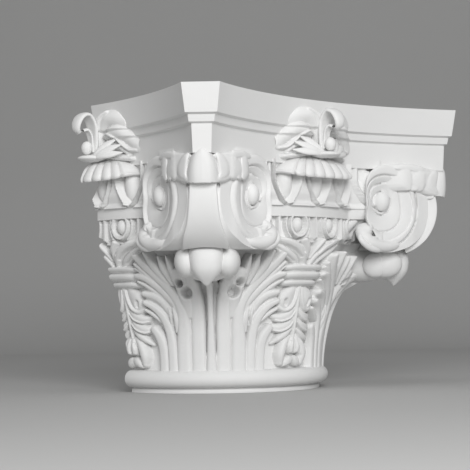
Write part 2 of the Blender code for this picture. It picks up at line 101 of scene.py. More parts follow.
def smooth(x):
    """0 below 0, 1 above 1, and an S curve between."""
    x = np.clip(x, 0.0, 1.0)
    return x * x * (3 - 2 * x)


def through(points, count):
    """A smooth line of count points through the given ones, as Catmull-Rom cubics."""
    points = np.asarray(points, float)
    u = np.linspace(0, len(points) - 1, count)
    i = np.minimum(u.astype(int), len(points) - 2)
    t = (u - i)[:, None]
    ends = np.vstack([2 * points[:1] - points[1:2], points, 2 * points[-1:] - points[-2:-1]])
    a, b, c, d = (ends[i + k] for k in range(4))
    return 0.5 * (2 * b + (c - a) * t + (2 * a - 5 * b + 4 * c - d) * t**2 + (3 * b - a - 3 * c + d) * t**3)


def follow(x, table):
    """The smooth curve through a table of (x, y) pairs, read at x."""
    table = np.asarray(table, float)
    dense = through(table, 24 * len(table))
    return np.interp(x, dense[:, 0], dense[:, 1])


def bell_radius(z):
    """The bare bell: its foot's radius, flaring with a power of the height."""
    share = np.clip((z - LEAF_FOOT) / (EGG_FOOT - LEAF_FOOT), 0, None)
    return BELL_FOOT_RADIUS + BELL_FLARE * share**BELL_POWER


def turned(points, azimuth):
    """Points given as (out, across, up), turned to an azimuth in degrees, as x, y, z."""
    a = math.radians(azimuth)
    out, across, up = np.moveaxis(np.asarray(points, float), -1, 0)
    x = out * math.sin(a) + across * math.cos(a)
    y = -out * math.cos(a) + across * math.sin(a)
    return np.stack([x, y, up], -1)


def outward(shell):
    """The shell with its faces pointing out, told by the sign of its volume."""
    points, faces = shell
    a, b, c = points[faces[:, 0]], points[faces[:, 1]], points[faces[:, 2]]
    d = points[faces[:, 3]]
    volume = np.einsum("ij,ij->", a, np.cross(b, c)) + np.einsum("ij,ij->", a, np.cross(c, d))
    return (points, faces[:, ::-1]) if volume < 0 else shell


def quads(rows, columns, wrap):
    """Faces of a grid of points, closed round its columns where wrap is set."""
    i = np.arange(rows - 1)[:, None] * columns
    j = np.arange(columns if wrap else columns - 1)[None, :]
    k = (j + 1) % columns
    return np.stack([i + j, i + k, i + columns + k, i + columns + j], -1).reshape(-1, 4)


def skin(rings):
    """A closed shell over rings of points, each end closed to the middle of its ring."""
    rows, columns = rings.shape[:2]
    faces = [quads(rows, columns, True)]
    points = [rings.reshape(-1, 3), rings[0].mean(0)[None], rings[-1].mean(0)[None]]
    j = np.arange(columns)
    k = (j + 1) % columns
    first, last = np.full(columns, rows * columns), np.full(columns, rows * columns + 1)
    low = (rows - 1) * columns
    faces.append(np.stack([k, j, first, first], -1))
    faces.append(np.stack([low + j, low + k, last, last], -1))
    return outward((np.concatenate(points), np.concatenate(faces)))


def patch(surface, apex):
    """A closed shell: a grid of points, with its edge fanned to one point inside the casting."""
    rows, columns = surface.shape[:2]
    index = np.arange(rows * columns).reshape(rows, columns)
    edge = np.concatenate([index[0], index[1:, -1], index[-1, -2::-1], index[-2:0:-1, 0]])
    after = np.roll(edge, -1)
    centre = np.full(len(edge), rows * columns)
    fan = np.stack([after, edge, centre, centre], -1)
    points = np.concatenate([surface.reshape(-1, 3), np.asarray(apex, float)[None]])
    return outward((points, np.concatenate([quads(rows, columns, False), fan])))


def ball(centre, radii, lean=0.0, rows=14, columns=20):
    """An ellipsoid whose top leans to the right by an angle in degrees."""
    v = np.linspace(0, math.pi, rows + 1)[:, None]
    u = np.linspace(0, 2 * math.pi, columns, endpoint=False)[None, :]
    up = np.cos(v) + 0 * u
    out = np.sin(v) * np.cos(u) * radii[0]
    across = np.sin(v) * np.sin(u) * radii[1]
    a = math.radians(lean)
    high = up * radii[2]
    leant = across * math.cos(a) + high * math.sin(a)
    upright = high * math.cos(a) - across * math.sin(a)
    return skin(np.stack([out, leant, upright], -1)[1:-1] + np.asarray(centre, float))


def section(count=16, power=2.0, cup=0.0):
    """A closed section: |x|^p + |y|^p = 1, with its upper side hollowed by cup in the middle."""
    a = 2 * math.pi * np.arange(count) / count
    x = np.sign(np.cos(a)) * np.abs(np.cos(a)) ** (2 / power)
    y = np.sign(np.sin(a)) * np.abs(np.sin(a)) ** (2 / power)
    return np.stack([x, y - cup * (y > 0) * (1 - x * x)], -1)


def swept(route, rise, profile, count=28):
    """A closed bar along a smooth route. A route's row is a point, half the width and half the height.

    Rise is the direction in which the section's height points, or one for each row.
    """
    route = np.asarray(route, float)
    line = through(route, count)
    path = line[:, :3]
    rise = np.broadcast_to(np.asarray(rise, float), (len(route), 3))
    rise = through(rise, count)
    tangent = np.gradient(path, axis=0)
    tangent /= np.linalg.norm(tangent, axis=1, keepdims=True)
    across = np.cross(tangent, rise)
    across /= np.linalg.norm(across, axis=1, keepdims=True)
    upward = np.cross(across, tangent)
    width, height = np.maximum(line[:, 3], 0.05), np.maximum(line[:, 4], 0.05)
    rings = path[:, None] + across[:, None] * (width[:, None] * profile[None, :, 0])[..., None]
    rings = rings + upward[:, None] * (height[:, None] * profile[None, :, 1])[..., None]
    return skin(rings)


def mirrored(shells):
    """The shells, and the same ones to the left of the frame's middle."""
    flip = np.array([1.0, -1.0, 1.0])
    return shells + [(points * flip, faces[:, ::-1]) for points, faces in shells]


def placed(shells, azimuth):
    """Shells given in an ornament's own frame, turned to an azimuth."""
    return [(turned(points, azimuth), faces) for points, faces in shells]


def shell_mesh(shell):
    """A mesh of one shell, in metres."""
    points, faces = shell
    triangle = faces[:, 2] == faces[:, 3]
    keep = np.ones(faces.shape, bool)
    keep[triangle, 3] = False
    sizes = np.where(triangle, 3, 4)
    mesh = bpy.data.meshes.new("shell")
    mesh.vertices.add(len(points))
    mesh.vertices.foreach_set("co", (points * MM).astype(np.float32).ravel())
    mesh.loops.add(int(sizes.sum()))
    mesh.loops.foreach_set("vertex_index", faces[keep].astype(np.int32))
    mesh.polygons.add(len(faces))
    mesh.polygons.foreach_set("loop_start", (np.cumsum(sizes) - sizes).astype(np.int32))
    mesh.update(calc_edges=True)
    mesh.validate()
    return mesh


def piece(name, shells, finish, sharp, inset=0.0):
    """One mesh of all the shells, each cut flat at the back.

    The cut lies inset behind the back plane, and a hair deeper for each further shell, so that no
    two cut faces share a plane.
    """
    work = bmesh.new()
    level = BACK - inset
    for shell in shells:
        if shell[0][:, 1].min() < level:
            mesh = shell_mesh(shell)
            if shell[0][:, 1].max() > level:
                cut_back(mesh, level)
                level -= CUT_STEP
            work.from_mesh(mesh)
            bpy.data.meshes.remove(mesh)
    mesh = bpy.data.meshes.new(name)
    work.to_mesh(mesh)
    work.free()
    mesh.shade_smooth()
    mesh.set_sharp_from_angle(angle=math.radians(sharp))
    mesh.materials.append(finish)
    made = bpy.data.objects.new(name, mesh)
    bpy.context.scene.collection.objects.link(made)
    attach(made, "root")
    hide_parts("capital")
    return made


def cut_back(mesh, level):
    """Cuts the mesh at a plane across y, and closes it there with a flat face."""
    work = bmesh.new()
    work.from_mesh(mesh)
    everything = work.verts[:] + work.edges[:] + work.faces[:]
    bmesh.ops.bisect_plane(
        work, geom=everything, plane_co=(0, level * MM, 0), plane_no=(0, 1, 0), clear_outer=True, dist=1e-7
    )
    open_edges = [edge for edge in work.edges if edge.is_boundary]
    bmesh.ops.holes_fill(work, edges=open_edges, sides=0)
    work.to_mesh(mesh)
    work.free()


def revolved(profile, columns=240):
    """A turned shell: rows of (radius, height) carried round the axis."""
    u = np.linspace(0, 2 * math.pi, columns, endpoint=False)[None, :]
    radius, high = profile[:, 0][:, None], profile[:, 1][:, None]
    return skin(np.stack([radius * np.cos(u), radius * np.sin(u), high + 0 * u], -1))


def rib_height(across, up, route, edge=0.5, power=2.0, steps=26):
    """Relief of a rib on a grid. A route's row is (across, up, height, half width).

    The height falls off from the rib's line as (1 - u^power)^edge, where u is the distance from it
    as a share of its half width.
    """
    line = through(route, steps)
    reach = line[:, 3].max()
    near = (across > line[:, 0].min() - reach) & (across < line[:, 0].max() + reach)
    near &= (up > line[:, 1].min() - reach) & (up < line[:, 1].max() + reach)
    result = np.zeros(across.shape)
    if not near.any():
        return result
    x, y = across[near], up[near]
    best = np.zeros(len(x))
    for a, b in zip(line, line[1:]):
        run = b[:2] - a[:2]
        t = np.clip(((x - a[0]) * run[0] + (y - a[1]) * run[1]) / max(run @ run, 1e-9), 0, 1)
        distance = np.hypot(x - a[0] - t * run[0], y - a[1] - t * run[1])
        u = np.minimum(distance / (a[3] + t * (b[3] - a[3])), 1)
        best = np.maximum(best, (a[2] + t * (b[2] - a[2])) * (1 - u**power) ** edge)
    result[near] = best
    return result


def line_distance(across, up, route, steps=26):
    """Distance of each grid point from a smooth line of (across, up) points."""
    line = through(route, steps)
    best = np.full(across.shape, 1e9)
    for a, b in zip(line, line[1:]):
        run = b - a
        t = np.clip(((across - a[0]) * run[0] + (up - a[1]) * run[1]) / max(run @ run, 1e-9), 0, 1)
        best = np.minimum(best, np.hypot(across - a[0] - t * run[0], up - a[1] - t * run[1]))
    return best


def plaster():
    """White cast plaster: a hair of colour variation, fine grain in the bump and a dull sheen."""
    finish = bpy.data.materials.new("white_casting")
    finish.use_nodes = True
    nodes, links = finish.node_tree.nodes, finish.node_tree.links
    shader = nodes["Principled BSDF"]
    shader.inputs["Roughness"].default_value = 0.62
    shader.inputs["Specular IOR Level"].default_value = 0.35
    place = nodes.new("ShaderNodeTexCoord")
    cloud = nodes.new("ShaderNodeTexNoise")
    cloud.inputs["Scale"].default_value = 9.0
    cloud.inputs["Detail"].default_value = 4.0
    grain = nodes.new("ShaderNodeTexNoise")
    grain.inputs["Scale"].default_value = 900.0
    grain.inputs["Detail"].default_value = 3.0
    tint = nodes.new("ShaderNodeValToRGB")
    tint.color_ramp.elements[0].position = 0.3
    tint.color_ramp.elements[0].color = (0.80, 0.80, 0.795, 1)
    tint.color_ramp.elements[1].position = 0.7
    tint.color_ramp.elements[1].color = (0.845, 0.845, 0.84, 1)
    bump = nodes.new("ShaderNodeBump")
    bump.inputs["Strength"].default_value = 0.08
    bump.inputs["Distance"].default_value = 0.0002
    links.new(place.outputs["Object"], cloud.inputs["Vector"])
    links.new(place.outputs["Object"], grain.inputs["Vector"])
    links.new(cloud.outputs["Fac"], tint.inputs["Fac"])
    links.new(tint.outputs["Color"], shader.inputs["Base Color"])
    links.new(grain.outputs["Fac"], bump.inputs["Height"])
    links.new(bump.outputs["Normal"], shader.inputs["Normal"])
    return finish


def abacus_shell():
    """Loops round the four hollow sides, one for each course; a side is an arc of a circle."""
    steps = 64
    loops = []
    for z, reach, half in COURSES:
        bow = (half**2 + SIDE_HOLLOW**2) / (2 * SIDE_HOLLOW)
        sweep = math.asin(half / bow)
        angle = np.linspace(-sweep, sweep, steps)
        out = reach + bow * math.cos(sweep) - bow * np.cos(angle)
        side = np.stack([out, bow * np.sin(angle), np.full(steps, z)], -1)
        loops.append(np.concatenate([turned(side, -90.0 + 90.0 * k) for k in range(4)]))
    return skin(np.array(loops))


def base_shells():
    """The fillet, the scotia and the roll at the foot, turned."""
    turn = np.radians(np.linspace(-90, 90, 15))
    out = RING_RADIUS - ROLL_HALF + ROLL_HALF * np.cos(turn)
    roll = np.stack([out, ROLL_MIDDLE + ROLL_HALF * np.sin(turn)], -1)
    foot = np.array([(134.3, 0.0), (134.5, 0.6), (134.5, 4.2), (133.8, 4.8), (132.2, 5.4), (132.2, 6.4)])
    return [revolved(np.concatenate([foot, roll, [(125.0, 29.0)]]))]


def bell_shell():
    """The bare bell behind the leaves and the plain echinus behind the eggs, turned."""
    z = np.linspace(20, EGG_FOOT, 40)
    bell = np.stack([bell_radius(z), z], -1)
    echinus = np.array([
        (CORE_RADIUS, EGG_FOOT + 1), (CORE_RADIUS, FILLET_FOOT),
        (FILLET_CORE, FILLET_FOOT + 1), (FILLET_CORE, FILLET_TOP - 1),
        (NECK_RADIUS, FILLET_TOP), (NECK_RADIUS, ABACUS_FOOT + 4),
    ])
    return revolved(np.concatenate([bell, echinus]), 160)


# The flutes of a corner leaf's right half. A row is the distance across from the leaf's middle
# along a circle of LEAF_RADIUS, the height, the relief over the bell, and half the width.
FLUTES = {
    "rib": [(0, 20, 10, 8), (0, 50, 12, 6.6), (0, 80, 15, 5), (0, 98, 17, 4.4), (0, 114, 20, 4.2),
            (0, 126, 24, 4.2), (0, 134, 28, 4.2)],
    "inner": [(17, 20, 8, 10.6), (17, 60, 10, 10.4), (16.5, 90, 12, 10), (17, 112, 15, 9.4),
              (18.5, 126, 21, 8.6), (20, 142, 28, 8)],
    "second": [(37, 20, 9.5, 11), (37, 60, 11, 11), (35, 84, 13, 9.6), (36, 102, 14.5, 7.6),
               (42, 118, 15.5, 6.6), (52, 132, 16.5, 6.2), (62, 144.5, 17.5, 6.2), (72, 157, 19, 6.2),
               (79, 168, 21, 5)],
    "third": [(53.5, 20, 9, 7.4), (54, 55, 10, 7.4), (56, 76, 11, 7), (62, 93, 12.5, 6.4),
              (72, 105, 14, 5.6), (84, 112, 16, 4.2)],
    "outer": [(67, 20, 8.5, 7.6), (67.5, 52, 9.5, 7.6), (71, 68, 11, 7.6), (78, 79, 12.5, 6)],
    "bridge": [(26, 96, 12, 5), (28, 112, 16, 9), (30, 128, 22, 10), (32, 146, 28, 10)],
}
# The webs between its fingers, and the fingers
WEBS = {
    "high": [(42, 118, 10, 8), (56, 136, 12, 11), (70, 152, 14, 12), (80, 164, 14, 7)],
    "middle": [(42, 96, 9, 8), (54, 116, 11, 12), (70, 131, 12.5, 12), (82, 141, 12, 7)],
    "low": [(54, 86, 8.5, 7), (66, 104, 10.5, 11), (80, 116, 11.5, 8)],
}
FINGERS = {
    "a1": [(46, 118, 11, 2.4), (58, 131, 13.5, 3.4), (70, 143, 15.5, 3.8), (84, 159, 17, 3.4)],
    "a2": [(52, 123, 10.5, 2), (64, 134, 13, 3.2), (76, 146, 14.5, 3.4), (86, 154, 15, 2.6)],
    "a0": [(48, 134, 16, 4), (55, 145, 18.5, 5.4), (61, 157, 21, 6.2), (66, 172, 23, 3)],
    "a00": [(43, 134, 18, 3), (46, 144, 21, 5), (49, 155, 24, 5.4), (51, 167, 24, 2.4)],
    "a000": [(38, 134, 21, 2.4), (39, 144, 25, 4), (40, 156, 28, 4.4), (41, 168, 29, 2)],
    "b1": [(40, 92, 10, 3.4), (44, 107, 12.5, 5.2), (53, 120, 14.5, 6), (64, 132, 16, 6.2),
           (76, 142, 17.5, 6.2), (86, 145, 18, 4.6)],
    "b2": [(54, 114, 10.5, 2.4), (66, 124, 13, 3.6), (78, 133, 14.5, 3.8), (87, 138, 15, 2.8)],
    "c1": [(53, 98, 10.5, 3.6), (59, 110, 13, 6), (69, 119, 15, 6.6), (82, 123, 17, 5.2)],
    "c2": [(62, 96, 9.5, 2.6), (72, 106, 12, 4), (86, 113.5, 14, 3.4)],
    "c3": [(66, 88, 9.5, 2.6), (76, 97, 11.5, 4), (86, 103, 13, 3)],
    "eye1": [(46, 76, 9, 2.2), (44.5, 90, 13.5, 4.2), (47, 105, 13, 2.2)],
    "eye2": [(52, 86, 10, 1.4), (51.5, 97, 13, 3), (53, 106, 12, 1.6)],
}
# The holes drilled under the bud: across, height, half width and depth
POCKETS = ((26.5, 124, 5.6, 26), (33, 135.5, 4.0, 24), (12, 139, 2.6, 14))
# The leaf's grid, its level between the flutes, and how it swells forwards under the bud
LEAF_HALF = 98.0
LEAF_LOW = 24.0
LEAF_TOP = 186.0
LEAF_SUNK = -2.0
WEB_DROP = 1.5
NOSE_RELIEF = 20.0
NOSE_FOOT = 122.0
NOSE_HEIGHT = 24.0
NOSE_HALF = 17.0


def leaf_relief(across, up):
    """How far a corner leaf stands out from the bell: the highest of its flutes, webs and fingers.

    The nose, an S curve in height by a Gaussian across, is added, and the holes are taken off.
    """
    across = np.abs(across)
    height = np.full(across.shape, LEAF_SUNK)
    for route in FLUTES.values():
        height = np.maximum(height, rib_height(across, up, route, 0.45, 4.0, 40))
    for route in WEBS.values():
        height = np.maximum(height, rib_height(across, up, route, 0.4, 3.0) - WEB_DROP)
    for route in FINGERS.values():
        height = np.maximum(height, rib_height(across, up, route, 0.45, 3.0))
    nose = NOSE_RELIEF * smooth((up - NOSE_FOOT) / NOSE_HEIGHT) * np.exp(-((across / NOSE_HALF) ** 2))
    height = height + nose
    for at, level, half, depth in POCKETS:
        height = height - depth * np.exp(-((np.hypot(across - at, (up - level) * 0.9) / half) ** 4))
    return height


def corner_leaf_shell():
    """The acanthus leaf under a horn, as relief over the bell on a fine grid."""
    across = np.linspace(-LEAF_HALF, LEAF_HALF, 226)[None, :]
    up = np.linspace(LEAF_LOW, LEAF_TOP, 178)[:, None]
    across, up = np.broadcast_arrays(across, up)
    radius = bell_radius(up) + leaf_relief(across, up)
    turn = across / LEAF_RADIUS
    surface = np.stack([radius * np.cos(turn), radius * np.sin(turn), up], -1)
    return patch(surface, (60.0, 0.0, 105.0))


# The echinus's radius: under the lower eggs, at the fillet, and where the upper eggs' ground starts
LOWER_GROUND = 177.0
FILLET_RADIUS = 187.0
UPPER_GROUND = 186.0
UPPER_FALL = 5.0
FOOT_FALL = 6.0
# Half the angle that a face's echinus fills, and its lowest and highest point
ECHINUS_HALF = 36
ECHINUS_LOW = 184
ECHINUS_TOP = 284
# How far it swells out to the volute past the last egg, from which angle and height
SWELL = 24.0
SWELL_FROM = 22.0
SWELL_FOOT = 198.0

# Upper course: eggs every so many degrees, between straps that run down to a point
EGG_PITCH = 14.7
EGG_RADIUS = 188.0
EGG_MIDDLE = 257.0
EGG_HALF_WIDTH = 10.2
EGG_HALF_HEIGHT = 21.0
EGG_RELIEF = 12.0
STRAP_POINT = 227.0
STRAP_HEIGHT = 40.0
STRAP_SPREAD = 18.0
STRAP_RELIEF = 14.5
STRAP_SLOPE = 8.5
STRAP_INNER = 7.5
STRAP_OUTER = 2.4
DART_FOOT_RELIEF = 5.5
DART_RISE = 5.0
DART_GAP = 3.0
NO_EGG = 99.0

# Lower course: eggs in two rings, with an upright dart between two of them
SMALL_PITCH = 17.3
SMALL_RADIUS = 184.0
SMALL_MIDDLE = 206.0
SMALL_HALF = 8.6
SMALL_RELIEF = 10.0
SMALL_STRETCH = 0.85
# Distance from the egg's middle, half width and relief of each ring
SMALL_RINGS = ((12.4, 2.2, 10.0), (18.0, 1.9, 8.0))
SMALL_DART_RELIEF = 9.0
SMALL_DART_HALF = 2.6


def arc(degrees, radius):
    """Length along a circle of a radius."""
    return degrees * math.pi / 180 * radius


def echinus_ground(degrees, up):
    """Radius of the echinus without its ornament: steps at the fillet, and S curves elsewhere."""
    above = UPPER_GROUND - UPPER_FALL * smooth((up - FILLET_TOP) / 7)
    below = np.where(up > FILLET_FOOT, FILLET_RADIUS, LOWER_GROUND)
    ground = np.where(up > FILLET_TOP, above, below)
    ground = ground - FOOT_FALL * smooth((EGG_FOOT + 1 - up) / 4)
    return ground + SWELL * smooth((np.abs(degrees) - SWELL_FROM) / 7) * smooth((up - SWELL_FOOT) / 26)


def upper_eggs(degrees, up):
    """Relief of the upper course: the highest of eggs, straps and darts.

    An egg is half an ellipsoid. A strap's line spreads from its point as 1 - (1 - v)^2, where v is
    the share of the height. The strap rises outwards to this line, and drops to the dart past it.
    """
    near = (degrees + EGG_PITCH / 2) % EGG_PITCH - EGG_PITCH / 2
    near = np.where(np.abs(degrees) > 2.5 * EGG_PITCH, NO_EGG, near)
    s = arc(np.abs(near), EGG_RADIUS)
    v = np.clip((up - STRAP_POINT) / STRAP_HEIGHT, 0, 1.05)
    bulge = 1 - (s / EGG_HALF_WIDTH) ** 2 - ((up - EGG_MIDDLE) / EGG_HALF_HEIGHT) ** 2
    egg = EGG_RELIEF * np.sqrt(np.clip(bulge, 0, 1))
    line = STRAP_SPREAD * (1 - (1 - v) ** 2)
    strap = STRAP_RELIEF * np.clip((s - line + STRAP_INNER) / STRAP_SLOPE, 0, 1) ** 0.8
    strap = strap * smooth((line + STRAP_OUTER - s) / 0.9) * smooth((up - FILLET_TOP + 0.8) / 5)
    dart = DART_FOOT_RELIEF + DART_RISE * smooth((up - FILLET_TOP - 1) / 16)
    dart = dart * smooth((s - line - DART_GAP) / 1.4) * (s < NO_EGG)
    return np.where(up > FILLET_TOP, np.maximum(np.maximum(egg, strap), dart), 0)


def lower_eggs(degrees, up):
    """Relief of the lower course: the highest of half balls, two rings round each, and darts."""
    near = degrees % SMALL_PITCH - SMALL_PITCH / 2
    s = arc(np.abs(near), SMALL_RADIUS)
    q = np.hypot(s, (up - SMALL_MIDDLE) * SMALL_STRETCH)
    relief = SMALL_RELIEF * np.sqrt(np.clip(1 - (q / SMALL_HALF) ** 2, 0, 1))
    rings = sum(rise * smooth((half - np.abs(q - at)) / 0.9) for at, half, rise in SMALL_RINGS)
    dart_at = np.abs(arc(SMALL_PITCH / 2, SMALL_RADIUS) - s)
    dart = SMALL_DART_RELIEF * smooth((SMALL_DART_HALF - dart_at) / 1.2)
    return np.where(up < FILLET_FOOT, np.maximum(np.maximum(relief, rings), dart), 0)


def egg_shell():
    """The echinus on one face: fillets, eggs, straps and darts, as relief on a fine grid."""
    degrees = np.linspace(-ECHINUS_HALF, ECHINUS_HALF, 270)[None, :]
    below = np.linspace(ECHINUS_LOW, FILLET_FOOT - 0.1, 40)
    fillet = np.linspace(FILLET_FOOT + 0.1, FILLET_TOP - 0.1, 8)
    above = np.linspace(FILLET_TOP + 0.1, ECHINUS_TOP, 62)
    up = np.concatenate([below, fillet, above])
    degrees, up = np.broadcast_arrays(degrees, up[:, None])
    radius = echinus_ground(degrees, up) + upper_eggs(degrees, up) + lower_eggs(degrees, up)
    turn = np.radians(degrees)
    surface = np.stack([radius * np.cos(turn), radius * np.sin(turn), up], -1)
    return patch(surface, (60.0, 0.0, 235.0))


# The volute's plan: half its width at each distance out
VOLUTE_PLAN = ((170, 88), (180, 84), (196, 76), (217, 62.9), (240, 48.5), (256, 38.5), (262, 33.6),
               (266, 29.8), (274, 23), (280, 18), (286, 13))
# Its edge, as distance from the eye at an angle from straight down, forwards and up
VOLUTE_EDGE = ((-30, 36.5), (-20, 40), (-12, 46), (-6, 57), (0, 64), (10, 66), (20, 66.5), (31, 67.7),
               (45, 67.9), (60, 66.7), (73, 64.6), (90, 62.3), (110, 61), (130, 59), (145, 53.5),
               (160, 48.5), (180, 45.5), (200, 40.5), (215, 34.5), (230, 28), (250, 23), (270, 21.5),
               (285, 21.5), (300, 25), (315, 31), (330, 36.5), (340, 40), (348, 46), (354, 57), (360, 64),
               (370, 66))
# The spiral's line, followed inwards for two turns and a half
SPIRAL = ((-45, 52), (0, 50), (22, 49), (45, 47), (68, 43), (90, 40), (112, 38.5), (135, 37.5), (158, 35),
          (180, 33), (203, 30), (225, 26), (248, 21), (270, 17.5), (293, 20), (315, 29), (338, 36.5),
          (360, 38.5), (382, 37), (405, 32.5), (428, 27), (450, 24), (472, 24.5), (495, 26), (518, 25),
          (540, 23), (562, 21.5), (585, 20), (608, 17), (630, 14), (652, 14), (675, 15.6), (698, 16.8),
          (720, 17), (742, 15), (765, 12.5), (810, 11), (855, 11.8), (900, 12), (1100, 12))
# The groove between the spiral and the ribbon on the volute's front
RIBBON_GROOVE = ((-30, 74), (0, 62), (22, 58.5), (45, 54), (68, 49.8), (90, 47), (110, 46), (130, 46.5),
                 (145, 60))
# Half the ribbon's width at each height
RIBBON_HALF = ((165, 28), (172, 28), (176, 27), (185, 25), (200, 20), (220, 17), (245, 15.5),
               (270, 15.5))
# How deep the spiral's line is cut, along its length
SPIRAL_CUT = ((-45, 0.5), (100, 1.0), (150, 3), (200, 4), (235, 1.5), (270, 0.4), (305, 1.5), (340, 3),
              (370, 3.5), (420, 2), (470, 1), (520, 3), (580, 3), (630, 0.6), (700, 2), (740, 3),
              (800, 2), (860, 2.5), (900, 2.5), (1100, 2))
# How much of the strip's fall remains along the spiral
SPIRAL_FALL = ((-45, 0.4), (60, 0.6), (150, 0.9), (215, 0.9), (270, 0.25), (330, 0.9), (420, 0.9),
               (480, 0.6), (560, 0.8), (630, 0.15), (700, 0.7), (760, 0.6), (1100, 0.6))
# Levels on the flank, as relief over the plan's width
RIM_CROWN = 1.4
RIM_ROUND = 2.6
RIBBON_LEVEL = 0.6
SPIRAL_TOP = -0.6
SPIRAL_SINK = 9.0
SPIRAL_HOLLOW = 6.5
EYE_LEVEL = -10.0
SPIRAL_LENGTH = 900.0
STEP_WIDTH = 1.3
CUT_HALF = 0.9
GROOVE_DEPTH = 4.2
GROOVE_HALF = 1.0
# The eye's distance from the volute's middle plane, and its half axes
EYE_ACROSS = 54.0
EYE_RADII = (10.3, 9.0, 12.6)
# The ribbon's arc on the drum, in degrees from level: its start, its length, and how its foot arches
RIBBON_START = -40
RIBBON_SWEEP = 104
RIBBON_ARCH = 8


def flank_relief(degrees, distance, edge):
    """Relief of the spiral on the flank.

    Between two laps of the spiral's line the level falls inwards as a hollow, and it steps up again
    at the next lap, where a narrow cut of Gaussian section runs. The whole sinks towards the eye.
    Outside the first lap runs a round rim, then a groove, and then the flat ribbon.
    """
    laps = [follow(degrees + 360 * k, SPIRAL) for k in range(3)]
    groove = follow(degrees, RIBBON_GROOVE)
    rim_edge = np.minimum(edge, groove)
    v = np.clip((distance - laps[0]) / np.maximum(rim_edge - laps[0], 1), 0, 1)
    level = RIM_CROWN - RIM_ROUND * (2 * v - 1) ** 4
    level = np.where(distance > rim_edge, RIBBON_LEVEL, level)
    for lap in (0, 1):
        gone = degrees + 360 * lap
        top = SPIRAL_TOP - SPIRAL_SINK * gone / SPIRAL_LENGTH
        u = np.clip((distance - laps[lap + 1]) / np.maximum(laps[lap] - laps[lap + 1], 1), 0, 1)
        strip = top - SPIRAL_HOLLOW * follow(gone, SPIRAL_FALL) * (1 - u) ** 1.6
        inside = smooth((laps[lap] - distance) / STEP_WIDTH + 0.5)
        level = level * (1 - inside) + strip * inside
    inside = smooth((laps[2] - distance) / STEP_WIDTH + 0.5)
    level = level * (1 - inside) + EYE_LEVEL * inside
    for lap in range(3):
        cut = follow(degrees + 360 * lap, SPIRAL_CUT)
        level = level - cut * np.exp(-(((distance - laps[lap] - 0.4) / CUT_HALF) ** 2))
    return level - GROOVE_DEPTH * np.exp(-(((distance - groove) / GROOVE_HALF) ** 2))


def volute_shells():
    """The volute: two carved flanks, from the eye out to the edge, and the wall between them."""
    degrees = np.linspace(0, 360, 300, endpoint=False)[None, :]
    share = np.linspace(0.02, 1, 84)[:, None]
    degrees, share = np.broadcast_arrays(degrees, share)
    edge = follow(degrees, VOLUTE_EDGE)
    distance = share * edge
    out = EYE_OUT + distance * np.sin(np.radians(degrees))
    up = EYE_UP - distance * np.cos(np.radians(degrees))
    half = np.maximum(follow(out, VOLUTE_PLAN) + flank_relief(degrees, distance, edge), 0.2)
    right = np.stack([out, half, up], -1)
    left = np.stack([out, -half, up], -1)[::-1]
    wall = np.linspace(1, -1, 14)[1:-1, None]
    between = np.stack([out[-1] + 0 * wall, half[-1] * wall, up[-1] + 0 * wall], -1)
    body = skin(np.concatenate([right, between, left]))
    eye = ball((EYE_OUT, EYE_ACROSS, EYE_UP), EYE_RADII, rows=18, columns=28)
    return [body, ribbon_shell()] + mirrored([eye])


def ribbon_shell():
    """The raised band down the volute's front: an arc of the drum, wider towards its arched foot."""
    loop = [(-1, 48), (-1, 60.6), (-0.97, 61.6), (-0.9, 62), (-0.6, 62.3), (-0.3, 62.5), (0, 62.6)]
    loop += [(-side, radius) for side, radius in reversed(loop[:-1])]
    side, radius = np.array(loop).T
    turn = np.linspace(0, 1, 60)[:, None]
    a = np.radians(RIBBON_START + turn * (RIBBON_SWEEP + RIBBON_ARCH * side**2))
    up = DRUM_UP - radius * np.sin(a)
    out = DRUM_OUT + radius * np.cos(a)
    return skin(np.stack([out, side * follow(up, RIBBON_HALF), up], -1))


def arm_shells():
    """The curled leaf at the end of the volute's right arm: rolled bars along smooth routes."""
    rolled = section(20, 2.4)
    arm = [(238, 40, 185, 6, 4), (228, 51, 182, 9, 6), (214, 61, 181.5, 11, 7.5), (202, 69, 185, 11.5, 8),
           (194, 72, 192, 11.5, 8.5), (193, 70, 200, 11, 8), (199, 65, 204, 8, 6), (204, 62, 202, 4, 3)]
    under = [(218, 60, 178, 3, 3), (208, 69, 177, 6, 4.5), (198, 76, 180, 6.5, 4.5), (190, 81, 187, 6, 4),
             (187, 81, 195, 3, 3)]
    tips = [[(210, 62, 190, 3, 3), (206, 70, 189, 4, 4), (203, 76, 190, 2.6, 2.6)],
            [(207, 66, 182, 3, 3), (203, 74, 181, 4, 3.6), (198, 81, 181, 2.4, 2.4)]]
    return [swept(route, (0.35, 0.3, 1), rolled, 36) for route in [arm, under] + tips]


